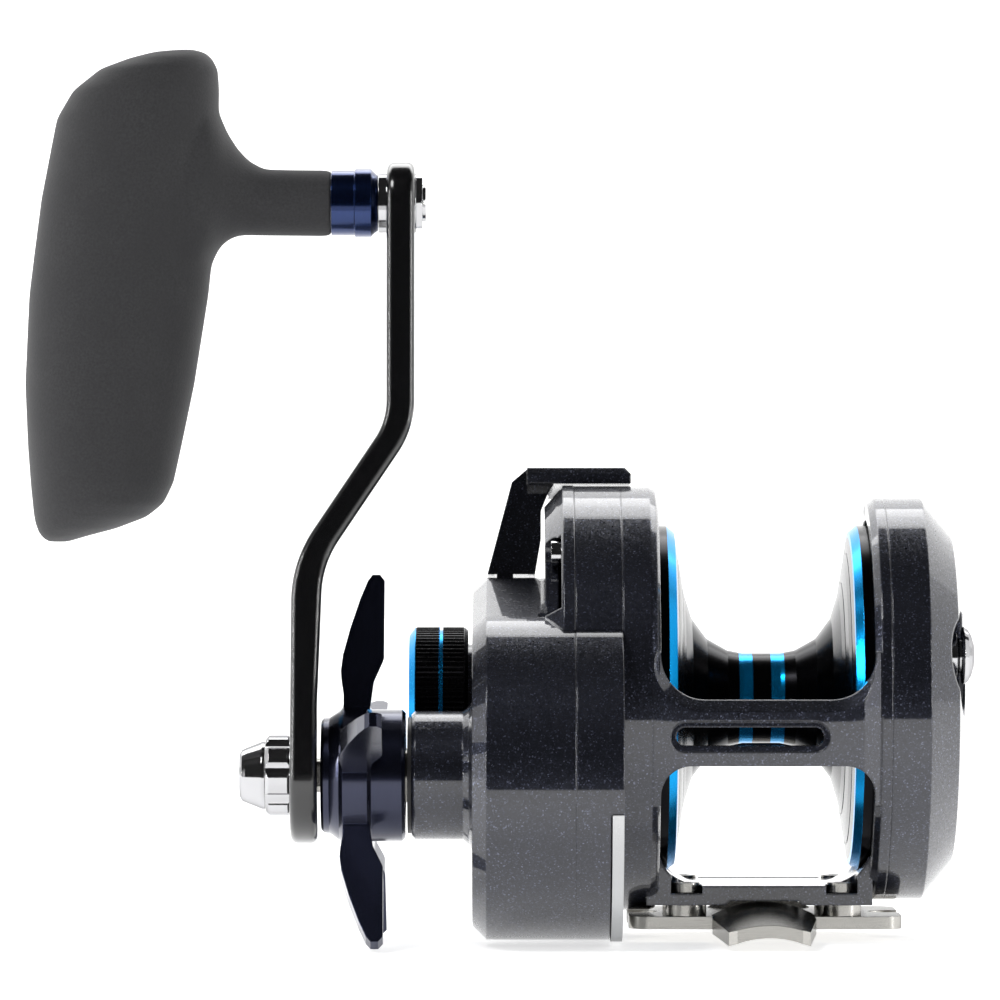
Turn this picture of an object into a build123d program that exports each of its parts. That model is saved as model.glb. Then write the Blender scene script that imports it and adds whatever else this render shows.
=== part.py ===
"""Trolling reel: bare spool in a one-piece frame, star drag, crank handle, free-spool lever.

Frame: origin on the flat underside of the reel foot, at its centre.  +X runs along the
spool axis away from the handle, -Y is the front of the reel, +Z is up.  Millimetres.
"""
import os
from math import acos, atan2, cos, degrees, hypot, pi, radians, sin, sqrt, tan

from build123d import *

os.makedirs("parts", exist_ok=True)

# ---- fits ------------------------------------------------------------------
run_clear = 0.05        # radial running clearance on a shaft
slip_clear = 0.02       # radial clearance of a part that is only slid into place
air = 0.4               # least gap between parts that pass each other

# ---- overall layout --------------------------------------------------------
foot_thick = 1.9
spacer_height = 1.7     # foot to bottom bar
floor_bottom = -30.6    # underside of the bottom bar, from the spool axis
axis_height = foot_thick + spacer_height - floor_bottom    # above the foot's underside
main_drop = 10.9        # crank axis below the spool axis
crank_radius = 85.0     # crank axis to knob axis
gear_module = 0.6
main_teeth = 64
pinion_teeth = 10
pressure_angle = 25.0
centre_distance = gear_module * (main_teeth + pinion_teeth) / 2
main_y = -sqrt(centre_distance ** 2 - main_drop ** 2)
main_z = axis_height - main_drop
main_bearing = degrees(atan2(-main_drop, -main_y))   # direction spool axis to crank axis
knob_z = main_z + crank_radius

# ---- one-piece frame -------------------------------------------------------
half_window = 15.8      # half the clear width between the two rings
left_ring_width = 5.6
right_ring_width = 2.5
ring_radius = 32.1
palm_radius = 30.4
ring_bore = 27.0
bar_top = 0.65          # crossbar edges, from the spool axis
bar_bottom = -9.1
bar_thick = 4.0
bar_bevel = 1.7
floor_top = -27.7       # bottom bar, from the spool axis
floor_half = 13.0
floor_fillet = 6.0
stud_sink = 1.15         # depth of the counterbores in the bottom bar
frame_left = -(half_window + left_ring_width)
frame_right = half_window + right_ring_width

# ---- handle-side housing ---------------------------------------------------
wall = 2.0
shell_depth = 7.0
rim_depth = 4.4
housing_depth = 15.2
bulge_a = 18.25         # housing radius about the spool axis
bulge_b = 24.4          # housing radius about the crank axis
shell_left = frame_left - shell_depth
rim_left = shell_left - rim_depth
face_left = shell_left - housing_depth
floor_left = frame_left - 1.8
roof_right = face_left + 1.8
boss_radius = 9.55
boss_left = face_left - 9.0
cast_boss_radius = 8.2
cast_boss_left = face_left - 5.4
backing_top = -15.7
backing_thick = 1.7

# ---- foot ------------------------------------------------------------------
foot_left = -20.2
foot_right = 20.7
foot_half = 13.0
foot_slot_width = 5.2
tongue_root = 15.5
tongue_tip = 12.0
tongue_reach = 35.0
tongue_tilt = 4.5
saddle_radius = 14.0
stud_x = 11.6
stud_y = 9.8
spacer_radius = 3.05

# ---- spool -----------------------------------------------------------------
flange_radius = 26.1
spool_half = 17.0
arbor_radius = 6.8
spool_shaft = 2.5
thin_shaft = 1.5
dog_radius = 0.6

# ---- gear train, stations along X -----------------------------------------
gear_right = frame_left - 10.5
gear_thick = 3.0
gear_left = gear_right - gear_thick
washer_thick = 0.6
plate_thick = 0.8
pressure_thick = 1.4
washer_radius = 14.0
ratchet_radius = 10.0
ratchet_thick = 1.2
clutch_throw = 1.6
main_shaft = 2.5
seat_shaft = 3.6
sleeve_radius = 4.0

# ---- star, handle and knob -------------------------------------------------
star_right = boss_left - 0.9
star_arms = 5
star_tip = 29.8
arm_thick = 4.0
hub_thick = 4.5
arm_round = 1.1          # radius along the edges of the handle arm
hub_arm_radius = 10.15
knob_arm_radius = 6.1
arm_hub_left = star_right - 17.15
arm_knob_left = star_right - 2.7
arm_low_half = 2.35     # half thickness of the arm below, along and above the slope
arm_slope_half = 2.05
arm_high_half = 2.1
arm_low_mid = 2.7       # middle of the lower arm, from its outer face
bend_low = 31.6         # heights above the crank axis where the arm bends
bend_high = 52.0
bend_low_radius = 17.0
bend_high_radius = 12.0
spindle_radius = 2.0
collar_radius = 4.85


def rod(radius, x0, x1, y=0.0, z=axis_height):
    """Solid cylinder along X."""
    return Pos((x0 + x1) / 2, y, z) * Rot(0, 90, 0) * Cylinder(radius, abs(x1 - x0))


def tube(outer, inner, x0, x1, y=0.0, z=axis_height):
    """Hollow cylinder along X."""
    return rod(outer, x0, x1, y, z) - rod(inner, min(x0, x1) - 1, max(x0, x1) + 1, y, z)


def turned(profile, y=0.0, z=axis_height):
    """Solid turned about an X axis from (x, radius) corners."""
    return Pos(0, y, z) * revolve(make_face(Polyline(*profile, close=True)), Axis.X)


def block(x0, x1, y0, y1, z0, z1):
    """Box between two corners."""
    size = Box(abs(x1 - x0), abs(y1 - y0), abs(z1 - z0))
    return Pos((x0 + x1) / 2, (y0 + y1) / 2, (z0 + z1) / 2) * size


def slab(sketch, x0, x1, y=0.0, z=axis_height):
    """Sketch drawn in (Y, Z) about an X axis, made solid between two X stations."""
    return Pos(x0, y, z) * extrude(Plane.YZ * sketch, amount=x1 - x0)


def post(radius, x, y, z0, z1):
    """Solid cylinder along Z."""
    return Pos(x, y, (z0 + z1) / 2) * Cylinder(radius, abs(z1 - z0))


def around(angle, radius=0.0):
    """(Y, Z) of a point round an axis; the angle runs from the front upward."""
    return -radius * cos(radians(angle)), radius * sin(radians(angle))


def turn(shape, angle, y=0.0, z=axis_height):
    """Shape turned about an X axis, from the front upward."""
    return Pos(0, y, z) * Rot(-angle, 0, 0) * Pos(0, -y, -z) * shape


def sector(outer, inner, start, end):
    """Arc band in (Y, Z) between two angles."""
    steps = max(2, int(abs(end - start) / 6))
    angles = [start + (end - start) * i / steps for i in range(steps + 1)]
    reach = outer / cos(radians((end - start) / steps / 2)) + 0.2
    wedge = make_face(Polyline((0, 0), *[around(a, reach) for a in angles], close=True))
    return (Circle(outer) - Circle(inner)) & wedge


def bulge(inset=0.0):
    """Outline of the gear housing: two circles and their common tangents."""
    ra = bulge_a - inset
    rb = bulge_b - inset
    spread = degrees(acos((ra - rb) / centre_distance))
    corners = []
    for side in (1, -1):
        near = around(main_bearing + side * spread, ra)
        far = around(main_bearing + side * spread, rb)
        corners.append((near, (far[0] + main_y, far[1] - main_drop)))
    quad = make_face(
        Polyline(corners[0][0], corners[0][1], corners[1][1], corners[1][0], close=True)
    )
    return Circle(ra) + Pos(main_y, -main_drop) * Circle(rb) + quad


def save(shape, name):
    """Write one part as its own STEP file."""
    export_step(shape, "parts/" + name + ".step")


# ---- frame -----------------------------------------------------------------
def window(width, low, high, corner):
    """Rounded cutter through the frame from front to back."""
    face = Pos(0, (low + high) / 2) * RectangleRounded(width, high - low, corner)
    return Pos(0, 0, axis_height) * extrude(Plane.XZ * face, amount=40, both=True)


def frame_stud_cut(x, y):
    """Counterbored hole in the bottom bar, open to the nearer edge."""
    top = axis_height + floor_top
    side = 1 if y > 0 else -1
    cut = post(1.3, x, y, top - 10, top + 1)
    cut += post(2.35, x, y, top - stud_sink, top + 4)
    cut += block(x - 2.35, x + 2.35, y, y + side * 6, top - stud_sink, top + 4)
    return cut


def make_frame():
    """Both rings, the two crossbars and the bottom bar, milled in one piece."""
    left = turned([
        (frame_left, ring_bore), (frame_left, ring_radius), (-half_window - 1.3, ring_radius),
        (-half_window - 0.4, ring_radius - 0.4), (-half_window, ring_radius - 1.3),
        (-half_window, ring_bore),
    ])
    right = turned([
        (half_window, ring_bore), (half_window, palm_radius - 1.0),
        (half_window + 1.0, palm_radius), (frame_right, palm_radius), (frame_right, ring_bore),
    ])
    band = turned([
        (-half_window - 1.2, ring_radius - bar_thick), (-half_window - 1.2, ring_radius),
        (half_window - 1.8, ring_radius), (half_window + 0.8, palm_radius - 0.2),
        (half_window + 0.8, ring_radius - bar_thick),
    ])
    band -= window(2 * half_window, bar_top, bar_top + 80, 6.5)
    band -= window(2 * half_window, bar_bottom - 60, bar_bottom, 4.5)
    opening = Pos(0, bar_top + 40) * RectangleRounded(2 * half_window, 80, 6.5)
    for outward in (1, -1):
        face = Plane((0, -outward * (ring_radius - bar_bevel), axis_height), x_dir=(1, 0, 0),
                     z_dir=(0, -outward, 0))
        band -= extrude(face * opening, amount=bar_bevel + 0.5, taper=-45)
    low = block(-50, 50, -50, 50, axis_height - 60, axis_height + bar_bottom - 6)
    band -= low + block(-50, 50, -50, 50, axis_height + bar_top + 7, axis_height + 60)
    slot = Pos(-2.75, (bar_top + bar_bottom) / 2 - 0.55) * SlotOverall(21.7, 2.75)
    rim = Pos(-2.75, (bar_top + bar_bottom) / 2 - 0.55) * SlotOverall(23.5, 4.55)
    band -= Pos(0, 0, axis_height) * extrude(Plane.XZ * slot, amount=40)
    band -= Pos(0, 0, axis_height) * extrude(Plane.XZ.offset(ring_radius - 0.9) * rim, amount=5)
    floor = block(
        -half_window - 1.8, half_window + 0.4, -floor_half, floor_half,
        axis_height + floor_bottom, axis_height + floor_top + floor_fillet,
    )
    floor -= window(2 * half_window, floor_top, floor_top + 60, floor_fillet)
    floor -= rod(flange_radius + 0.6, -30, 30)
    for y in (stud_y, -stud_y):
        for x in (stud_x, -stud_x):
            floor -= frame_stud_cut(x, y)
    relief = make_face(Polyline(
        (-5.9, floor_bottom - 0.1), (-5.1, floor_bottom + 0.6), (5.1, floor_bottom + 0.6),
        (5.9, floor_bottom - 0.1), close=True,
    ))
    floor -= Pos(0, 0, axis_height) * extrude(Plane.XZ * relief, amount=20, both=True)
    floor -= block(-10, 10, 7.2, 9.6, axis_height + floor_top - 0.5, axis_height)
    body = left + right + band + floor
    for angle in cover_screw_angles:
        y, z = around(angle, screw_circle)
        body -= rod(0.95, frame_left - 1, frame_left + 4.4, y, axis_height + z)
    for angle in palm_screw_angles:
        y, z = around(angle, palm_screw_circle)
        body -= rod(0.95, half_window - 1, frame_right + 1, y, axis_height + z)
    return body


# ---- handle-side housing ---------------------------------------------------
screw_circle = 29.0
cover_screw_angles = (49.5, 165.0, 232.0)
palm_screw_circle = 28.4
palm_screw_angles = (95.0, 180.0, 265.0)
bearing_width = 2.5
spool_bearing = (spool_shaft, 5.5)
shaft_bearing = (2.0, 4.0)
lever_angle = 100.0
lever_travel = 28.0
neck_half = 7.0         # half angle of the lever's neck through the housing wall
neck_left = rim_left - 7.2
neck_right = rim_left - 2.8
pad_top = 34.9
pad_under = ring_radius + 0.4
pad_right = frame_left + 1.7


def make_inner_shell():
    """Inner handle-side shell with the bearing seats of both shafts."""
    outline = Circle(ring_radius) + bulge()
    cavity = Circle(ring_radius - 2.2) + bulge(wall)
    shell = slab(outline, shell_left, frame_left)
    shell -= slab(cavity, shell_left - 1, floor_left)
    shell += tube(7.0, spool_bearing[1], floor_left - 0.2, frame_left + 1.0)
    shell += rod(5.8, floor_left - 3.0, floor_left + 0.1, main_y, main_z)
    shell -= rod(spool_bearing[1], frame_left - 1.4, frame_left + 2)
    shell -= rod(3.9, floor_left - 2, frame_left)
    seat = floor_left - 0.6
    shell -= rod(shaft_bearing[1], floor_left - 4, seat, main_y, main_z)
    pin_y, pin_z = around(pawl_angle, pawl_circle)
    shell -= rod(1.0, floor_left - 1, floor_left + 0.7, main_y + pin_y, main_z + pin_z)
    recess = bulge(-1) - Circle(ring_radius - 1.9)
    band = block(-40, 0, -60, 60, axis_height - 60, axis_height + backing_top)
    shell -= slab(recess, frame_left - backing_thick - 0.25, frame_left + 1) & band
    for angle in cover_screw_angles:
        y, z = around(angle, screw_circle)
        shell += rod(2.4, shell_left, floor_left + 0.1, y, axis_height + z)
        shell -= rod(1.05, shell_left - 1, frame_left + 1, y, axis_height + z)
    return shell


def make_backing_plate():
    """Bright plate trapped between the shell's lower corner and the frame ring."""
    shape = bulge(-0.25) - Circle(ring_radius - 1.8)
    band = block(-40, 0, -60, 60, axis_height - 60, axis_height + backing_top)
    return slab(shape, frame_left - backing_thick - 0.05, frame_left - 0.05) & band


def cover_boss():
    """Hollow bosses on the cover for the roller clutch and the tension knob."""
    crank = turned([
        (face_left + 0.2, 0), (face_left + 0.2, boss_radius + 2.2),
        (face_left - 0.5, boss_radius + 0.8), (face_left - 1.4, boss_radius),
        (boss_left + 0.5, boss_radius), (boss_left, boss_radius - 0.5), (boss_left, 0),
    ], main_y, main_z)
    cast = turned([
        (face_left + 0.2, 0), (face_left + 0.2, cast_boss_radius),
        (cast_boss_left, cast_boss_radius), (cast_boss_left, 0),
    ])
    return crank + cast


def make_gear_cover():
    """Outer handle-side cover: rim ring, stepped gear housing and its two bosses."""
    rim = turned([
        (shell_left, 0), (shell_left, ring_radius + 0.1), (shell_left - 1.7, ring_radius + 0.1),
        (rim_left, ring_radius - 3.2), (rim_left, 0),
    ])
    body = slab(bulge(), face_left + 2.1, shell_left)
    top = loft([
        Pos(face_left + 2.1, 0, axis_height) * (Plane.YZ * bulge()).faces()[0],
        Pos(face_left, 0, axis_height) * (Plane.YZ * bulge(2.0)).faces()[0],
    ])
    cover = rim + body + top + cover_boss()
    cover -= slab(Circle(ring_radius - 2.2), shell_left - 2.4, shell_left + 1)
    cover -= slab(bulge(wall), roof_right, shell_left + 1)
    cover -= rod(7.0, boss_left + 1.2, roof_right + 1, main_y, main_z)
    cover -= rod(sleeve_radius + 0.6, boss_left - 1, boss_left + 2, main_y, main_z)
    cover -= rod(3.5, cast_boss_left - 1, roof_right + 1)
    start = lever_angle - neck_half - 0.8
    end = lever_angle + lever_travel + neck_half + 0.8
    cover -= slab(sector(bulge_a + 2, bulge_a - wall - 0.5, start, end),
                  neck_left - 0.35, neck_right + 0.35)
    first = cover_screw_angles[0]
    pocket = sector(ring_radius + 3, screw_circle - 2.4, first - 23, first + 2)
    cover -= slab(pocket, rim_left - 1, shell_left - 2.0)
    for angle in cover_screw_angles:
        y, z = around(angle, screw_circle)
        cover += rod(2.4, shell_left - 2.0, shell_left, y, axis_height + z)
        cover -= rod(2.4, rim_left - 1, shell_left - 2.0, y, axis_height + z)
        cover -= rod(1.05, rim_left - 1, shell_left + 1, y, axis_height + z)
    for post_y, post_z in yoke_posts():
        cover += rod(1.6, roof_right - 0.1, roof_right + 0.6, post_y, post_z)
        cover -= rod(0.8, roof_right - 0.9, roof_right + 1, post_y, post_z)
    return cover


def screw_x(x_under, head, length, sign, y, z, radius=0.9, head_radius=1.9, head_high=1.5):
    """Socket screw along X; sign is the side its head faces."""
    top = x_under + sign * head_high
    shape = rod(head_radius, x_under, top, y, z)
    shape += rod(radius, x_under, x_under - sign * length, y, z)
    socket = Pos(0, 0) * RegularPolygon(head, 6)
    cut = slab(socket, min(top, top - sign * 0.9), max(top, top - sign * 0.9), y, z)
    return shape - cut


def make_cover_screws():
    """Screws that draw the cover and inner shell onto the frame ring."""
    seat = shell_left - 2.0
    length = frame_left + 4.0 - seat
    places = [around(angle, screw_circle) for angle in cover_screw_angles]
    return Compound(children=[
        screw_x(seat, 1.0, length, -1, y, axis_height + z) for y, z in places
    ])


# ---- palm side -------------------------------------------------------------
palm_outer = frame_right + 13.0
button_y = -16.0
button_z = 6.8
button_travel = 4.5
recess_half = 8.0
recess_wide = 8.2
recess_mid = button_z - button_travel / 2
recess_floor = palm_outer - 4.4


def palm_profile(inset):
    """Half section of the palm dome, moved inward by the wall."""
    right = frame_right
    return [
        (right - 1, 0), (right - 1, palm_radius - inset), (right + 5.7 - inset / 3,
        palm_radius - inset), (right + 10.2 - inset, 25.0 - inset / 2),
        (right + 11.3 - inset, 19.2), (right + 11.5 - inset, 15.4), (palm_outer - inset, 0),
    ]


def make_palm_plate():
    """Domed palm plate with the clicker recess and the palm bearing seat."""
    plate = turned(palm_profile(0)) & block(frame_right, 60, -60, 60, -60, 120)
    plate -= turned(palm_profile(wall))
    plate -= slab(Circle(ring_bore - 0.4), frame_right - 2, frame_right + 1.2)
    plate += tube(7.0, spool_bearing[1], frame_right + 4.2, palm_outer - 1.2)
    plate += rod(6.9, frame_right + 4.2 + bearing_width, palm_outer - 1.2)
    plate -= rod(3.2, frame_right + 3, frame_right + 9.0)
    shape = Pos(button_y - 1.5, recess_mid + 0.9) * Ellipse(recess_wide, recess_half)
    thick = Pos(button_y - 1.5, recess_mid + 0.9) * Ellipse(recess_wide + 1.5, recess_half + 1.5)
    bed = slab(thick, recess_floor - 1.6, recess_floor + 3)
    plate += bed & turned(palm_profile(0.3))
    plate -= slab(shape, recess_floor, palm_outer + 2)
    slot = Pos(button_y, recess_mid) * Rot(0, 0, 90) * SlotOverall(button_travel + 3.4, 3.0)
    plate -= slab(slot, recess_floor - 3, recess_floor + 1)
    for angle in palm_screw_angles:
        y, z = around(angle, palm_screw_circle)
        inside = block(frame_right, frame_right + 5, -60, 60, -60, 120)
        plate += rod(2.6, frame_right, frame_right + 5, y, axis_height + z) & inside & turned(
            palm_profile(0))
        plate -= rod(2.1, frame_right + 3.2, palm_outer, y, axis_height + z)
        plate -= rod(1.05, frame_right - 1, palm_outer, y, axis_height + z)
    return plate


def make_palm_screws():
    """Screws that hold the palm plate to the frame's thin ring."""
    places = [around(angle, palm_screw_circle) for angle in palm_screw_angles]
    seat = frame_right + 3.2
    return Compound(children=[
        screw_x(seat, 0.9, seat - half_window - 0.2, 1, y, axis_height + z, head_radius=1.8)
        for y, z in places
    ])


# ---- foot ------------------------------------------------------------------
def tongue(side):
    """One saddle-shaped tongue of the foot, reaching forward or back."""
    band = Circle(saddle_radius + foot_thick) - Circle(saddle_radius)
    arc = extrude(Plane.XZ * (Pos(0, -saddle_radius) * band), amount=tongue_reach + 2)
    root = foot_half - 3.0
    plan = make_face(Polyline(
        (-tongue_root / 2, root), (-tongue_root / 2, foot_half + 1.5),
        (-tongue_tip / 2, tongue_reach - 1.2), (-tongue_tip / 2 + 1.2, tongue_reach),
        (tongue_tip / 2 - 1.2, tongue_reach), (tongue_tip / 2, tongue_reach - 1.2),
        (tongue_root / 2, foot_half + 1.5), (tongue_root / 2, root), close=True,
    ))
    prism = Pos(0, 0, -7) * extrude(plan, amount=14)
    rise = saddle_radius - sqrt(saddle_radius ** 2 - (tongue_root / 2) ** 2) - 0.5
    back = Pos(0, foot_half, rise) * Rot(-tongue_tilt, 0, 0) * Rot(0, 0, 180) * Pos(
        0, foot_half, 0) * arc
    strip = (back & prism) - block(-20, 20, 0, foot_half, -7, 0)
    return strip if side > 0 else Rot(0, 0, 180) * strip


def make_foot():
    """Stainless foot plate: slotted wings for a rod clamp and two saddle tongues."""
    mid = (foot_left + foot_right) / 2
    wings = Pos(mid, 0) * RectangleRounded(foot_right - foot_left, 2 * foot_half, 3.0)
    for side in (1, -1):
        slot = Pos(mid + side * (foot_right - foot_left) / 2, 0)
        wings -= slot * SlotOverall(9.0, foot_slot_width)
    plate = extrude(wings, amount=foot_thick)
    for y in (stud_y, -stud_y):
        for x in (stud_x, -stud_x):
            plate -= post(1.3, x, y, -1, 5)
            plate -= post(2.3, x, y, -1, 0.9)
    return plate + tongue(1) + tongue(-1)


def stud_places():
    """Centres of the four foot screws."""
    return [(x, y) for x in (-stud_x, stud_x) for y in (-stud_y, stud_y)]


def make_spacers():
    """Turned spacers that hold the foot off the bottom bar."""
    top = axis_height + floor_bottom
    return Compound(children=[
        post(spacer_radius, x, y, foot_thick, top) - post(1.3, x, y, 0, top + 1)
        for x, y in stud_places()
    ])


def make_foot_screws():
    """Cap screws from the bottom bar down into nuts riveted in the foot."""
    seat = axis_height + floor_top - stud_sink
    screws = []
    for x, y in stud_places():
        screw = post(2.05, x, y, seat, seat + 1.5) + post(1.2, x, y, 1.0, seat)
        socket = extrude(Pos(x, y, seat + 0.6) * RegularPolygon(1.1, 6), amount=2)
        screws.append(screw - socket)
    return Compound(children=screws)


def make_foot_nuts():
    """Flush nuts under the foot plate."""
    return Compound(children=[
        post(2.25, x, y, 0.05, 0.9) - post(1.25, x, y, -1, 2) for x, y in stud_places()
    ])


# ---- gears -----------------------------------------------------------------
def involute(angle):
    """Involute function of an angle in radians."""
    return tan(angle) - angle


def gear_outline(teeth, shift, phase):
    """Gear outline with flat-faced involute flanks; one tooth centre lies at the phase."""
    pitch = gear_module * teeth / 2
    base = pitch * cos(radians(pressure_angle))
    tip = pitch + gear_module * (0.95 + shift)
    root = pitch - gear_module * (1.2 - shift)
    thick = gear_module * (pi / 2 + 2 * shift * tan(radians(pressure_angle))) - 0.07
    start = max(root, base * 1.0001)
    radii = [start + (tip - start) * i / 3 for i in range(4)]
    flank = [
        (r, thick / 2 / pitch + involute(radians(pressure_angle)) - involute(acos(base / r)))
        for r in radii
    ]
    foot = flank[0][1] * 1.05
    half = [(root, foot)] + [pair for pair in flank if pair[0] > root + 1e-6]
    corners = []
    for tooth in range(teeth):
        centre = radians(phase) + 2 * pi * tooth / teeth
        for r, a in half:
            corners.append((-r * cos(centre - a), r * sin(centre - a)))
        for r, a in reversed(half):
            corners.append((-r * cos(centre + a), r * sin(centre + a)))
    return make_face(Polyline(*corners, close=True))


def make_main_gear():
    """Main gear, free on the crank shaft and driven through the drag washers."""
    outline = gear_outline(main_teeth, -0.25, main_bearing + 180)
    outline -= Circle(seat_shaft + run_clear)
    for hole in range(6):
        y, z = around(60 * hole + 15, 16.2)
        outline -= Pos(y, z) * Circle(1.1)
    return slab(outline, gear_left, gear_right, main_y, main_z)


pinion_left = gear_left - 5.1
pinion_dog = frame_left - 2.5
groove_left = gear_left - 4.3
groove_right = gear_left - 2.7


def make_pinion():
    """Sliding pinion: shift groove, ten teeth and the slotted dog that drives the spool."""
    outline = gear_outline(pinion_teeth, 0.25, main_bearing + 180 / pinion_teeth)
    teeth = slab(outline, groove_right - 0.1, gear_right + 2.0)
    body = turned([
        (pinion_left - 0.1, 0), (pinion_left - 0.1, 4.5), (groove_left, 4.5),
        (groove_left, 2.6), (groove_right, 2.6), (groove_right, 4.5),
        (groove_right + 0.6, 4.5), (groove_right + 0.6, 2.3), (gear_right + 2.0, 2.3),
        (gear_right + 2.0, 3.4), (pinion_dog, 3.4), (pinion_dog, 0),
    ])
    pinion = teeth + body - rod(thin_shaft + run_clear, pinion_left - 2, pinion_dog + 2)
    slot = block(pinion_dog - 1.2, pinion_dog + 1, -0.7, 0.7, axis_height - 6, axis_height + 6)
    return pinion - slot


# ---- bearings --------------------------------------------------------------
bearings = (
    ("spool", frame_left - 1.4, 2.5, spool_shaft, 5.5, 0.0, axis_height),
    ("spool", frame_right + 4.2, 2.5, spool_shaft, 5.5, 0.0, axis_height),
    ("spool", face_left - 2.4, 2.3, thin_shaft, 3.5, 0.0, axis_height),
    ("crank", floor_left - 3.0, 2.4, 2.0, 4.0, main_y, main_z),
    ("crank", roof_right - 2.9, 2.4, sleeve_radius, 7.0, main_y, main_z),
    ("grip", star_right - 7.6, 2.4, spindle_radius, 4.0, main_y, knob_z),
    ("grip", star_right - 45.0, 2.4, spindle_radius, 4.0, main_y, knob_z),
)


def bearing_parts(x0, width, inner, outer, y, z):
    """Outer ring, inner ring and balls of one deep-groove bearing."""
    ring = (outer - inner) * 0.27
    pitch = (inner + outer) / 2
    ball = (outer - inner - 2 * ring) / 2 + 0.12
    race = Pos(x0 + width / 2, y, z) * Rot(0, 90, 0) * Torus(pitch, ball + slip_clear)
    outer_ring = tube(outer, outer - ring, x0, x0 + width, y, z) - race
    inner_ring = tube(inner + ring, inner, x0, x0 + width, y, z) - race
    count = int(2 * pi * pitch / (2.5 * ball))
    balls = []
    for index in range(count):
        dy, dz = around(360 * index / count, pitch)
        balls.append(Pos(x0 + width / 2, y + dy, z + dz) * Sphere(ball))
    return outer_ring, inner_ring, balls


def bearing_group(users, piece):
    """All the outer rings, inner rings or balls of the bearings on the named shafts."""
    solids = []
    for user, x0, width, inner, outer, y, z in bearings:
        if user in users:
            parts = bearing_parts(x0, width, inner, outer, y, z)
            solids += parts[piece] if piece == 2 else [parts[piece]]
    return Compound(children=solids)


# ---- crank shaft and drag --------------------------------------------------
def flats(x0, x1, half):
    """Slab that leaves two flats on the crank shaft."""
    return block(x0, x1, main_y - half, main_y + half, main_z - 10, main_z + 10)


def make_main_shaft():
    """Crank shaft: journal, flange, flatted seat for the drag and a threaded outer end."""
    stack_left = gear_left - 2 * washer_thick - plate_thick - pressure_thick
    flange = gear_right + washer_thick + ratchet_thick
    handle_in = arm_hub_left + hub_thick
    journal = floor_left - 0.7
    ends = turned([
        (journal, 0), (journal, 2.0), (floor_left - 3.1, 2.0), (floor_left - 3.1, 2.7),
        (flange + 1.0, 2.7), (flange + 1.0, 6.0), (flange, 6.0), (flange, 0),
    ], main_y, main_z)
    seat = rod(seat_shaft, stack_left, flange + 0.1, main_y, main_z)
    lower = rod(seat_shaft, gear_left - washer_thick / 2, gear_right, main_y, main_z)
    seat = lower + (seat & flats(stack_left - 1, flange + 1, 2.9))
    stem = rod(main_shaft, handle_in + 0.2, stack_left + 0.1, main_y, main_z)
    square = rod(main_shaft, arm_hub_left, handle_in + 0.3, main_y, main_z)
    square &= flats(arm_hub_left - 1, handle_in + 1, 1.9)
    tail = rod(2.0, arm_hub_left - 5.2, arm_hub_left + 0.1, main_y, main_z)
    return ends + seat + stem + square + tail


def make_ratchet():
    """Anti-reverse ratchet wheel keyed under the gear."""
    count = 20
    corners = []
    for tooth in range(count):
        angle = 360 * tooth / count
        corners.append(around(angle, ratchet_radius - 1.3))
        corners.append(around(angle + 16, ratchet_radius))
        corners.append(around(angle + 17.5, ratchet_radius - 1.3))
    outline = make_face(Polyline(*corners, close=True))
    bore = Circle(seat_shaft + slip_clear) & Rectangle(2 * (2.9 + slip_clear), 10)
    right = gear_right + washer_thick + ratchet_thick
    return slab(outline - bore, right - ratchet_thick, right, main_y, main_z)


def make_carbon_washers():
    """Three carbon-fibre drag washers."""
    outline = Circle(washer_radius) - Circle(seat_shaft + 0.25)
    small = Circle(ratchet_radius - 1.6) - Circle(seat_shaft + 0.25)
    first = gear_left
    third = gear_left - washer_thick - plate_thick
    return Compound(children=[
        slab(small, gear_right, gear_right + washer_thick, main_y, main_z),
        slab(outline, first - washer_thick, first, main_y, main_z),
        slab(outline, third - washer_thick, third, main_y, main_z),
    ])


def make_steel_washers():
    """Keyed steel drag plate and the keyed pressure plate above it."""
    bore = Circle(seat_shaft + slip_clear) & Rectangle(2 * (2.9 + slip_clear), 10)
    outline = Circle(washer_radius - 0.3) - bore
    first = gear_left - washer_thick
    second = first - plate_thick - washer_thick
    return Compound(children=[
        slab(outline, first - plate_thick, first, main_y, main_z),
        slab(outline, second - pressure_thick, second, main_y, main_z),
    ])


sleeve_right = gear_left - 2 * washer_thick - plate_thick - pressure_thick
sleeve_left = star_right - 1.0
clutch_left = boss_left + 1.2
clutch_right = roof_right - 3.0


def make_sleeve():
    """Roller-clutch sleeve that carries the star's push to the pressure plate."""
    return tube(sleeve_radius, main_shaft + run_clear, sleeve_left, sleeve_right,
                main_y, main_z)


def make_clutch_shell():
    """Drawn cup of the one-way roller clutch, pressed in the boss."""
    cup = tube(7.0, 6.1, clutch_left, clutch_right, main_y, main_z)
    for x0, x1 in ((clutch_left, clutch_left + 0.6), (clutch_right - 0.6, clutch_right)):
        cup += tube(6.3, sleeve_radius + 0.3, x0, x1, main_y, main_z)
    return cup


def make_clutch_rollers():
    """Rollers of the one-way clutch."""
    gap = 6.1 - sleeve_radius
    radius = gap / 2 - slip_clear
    rollers = []
    for index in range(12):
        dy, dz = around(30 * index, sleeve_radius + gap / 2)
        rollers.append(rod(radius, clutch_left + 0.8, clutch_right - 0.8,
                           main_y + dy, main_z + dz))
    return Compound(children=rollers)


def make_boss_seal():
    """Dust ring between the boss and the star."""
    return tube(8.6, sleeve_radius + 0.35, boss_left - 0.6, boss_left, main_y, main_z)


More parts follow.
